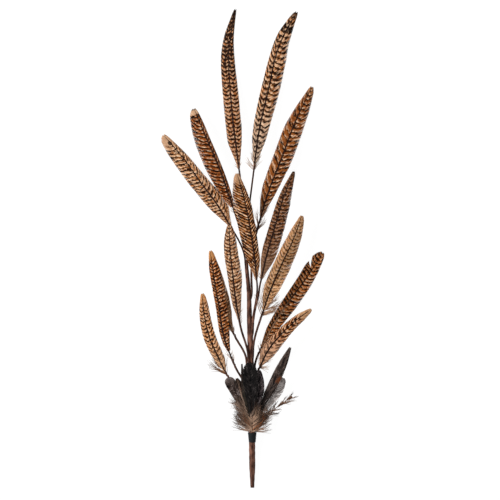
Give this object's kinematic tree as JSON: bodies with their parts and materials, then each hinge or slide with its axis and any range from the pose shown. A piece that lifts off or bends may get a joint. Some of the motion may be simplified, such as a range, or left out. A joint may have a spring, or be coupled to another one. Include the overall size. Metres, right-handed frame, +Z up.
{
  "type": "pheasant feather spray",
  "caption": "Decorative spray of barred pheasant tail feathers on a taped wire stem, with a bound collar of short dark downy feathers.",
  "frame": {"origin": "on the surface the spray lies on, under the middle of its box", "axes": "+Z up from the surface; +Y along the spray, from the cut foot of the stem to the tips of the tallest feathers; +X to the right, seen from above"},
  "size_m": [0.2396, 0.7002, 0.0485],
  "materials": {
    "tail_feather": "matte",
    "collar_feather": "satin",
    "stem_tape": "matte",
    "binding_cord": "matte"
  },
  "bodies": {
    "root": {"main_stem": "stem_tape", "right_branch": "stem_tape", "feather_tall_left": "tail_feather", "stalk_tall_left": "stem_tape", "feather_tall_right": "tail_feather", "stalk_tall_right": "stem_tape", "feather_upper_right": "tail_feather", "stalk_upper_right": "stem_tape", "feather_upper_left": "tail_feather", "stalk_upper_left": "stem_tape", "feather_far_left": "tail_feather", "stalk_far_left": "stem_tape", "feather_front_tall": "tail_feather", "stalk_front_tall": "stem_tape", "feather_front_dark": "tail_feather", "stalk_front_dark": "stem_tape", "feather_pale_right": "tail_feather", "stalk_pale_right": "stem_tape", "feather_split_right": "tail_feather", "stalk_split_right": "stem_tape", "feather_low_right": "tail_feather", "stalk_low_right": "stem_tape", "feather_centre_left": "tail_feather", "stalk_centre_left": "stem_tape", "feather_mid_left": "tail_feather", "stalk_mid_left": "stem_tape", "feather_behind_left": "tail_feather", "stalk_behind_left": "stem_tape", "feather_low_left": "tail_feather", "stalk_low_left": "stem_tape", "collar_front_black": "collar_feather", "collar_right_black": "collar_feather", "collar_right_slender": "collar_feather", "collar_right_grey": "collar_feather", "collar_right_brown": "collar_feather", "collar_back_right": "collar_feather", "collar_back_left": "collar_feather", "collar_left_brown": "collar_feather", "collar_left_sliver": "collar_feather", "collar_left_green": "collar_feather", "binding": "binding_cord"}
  },
  "joints": []
}
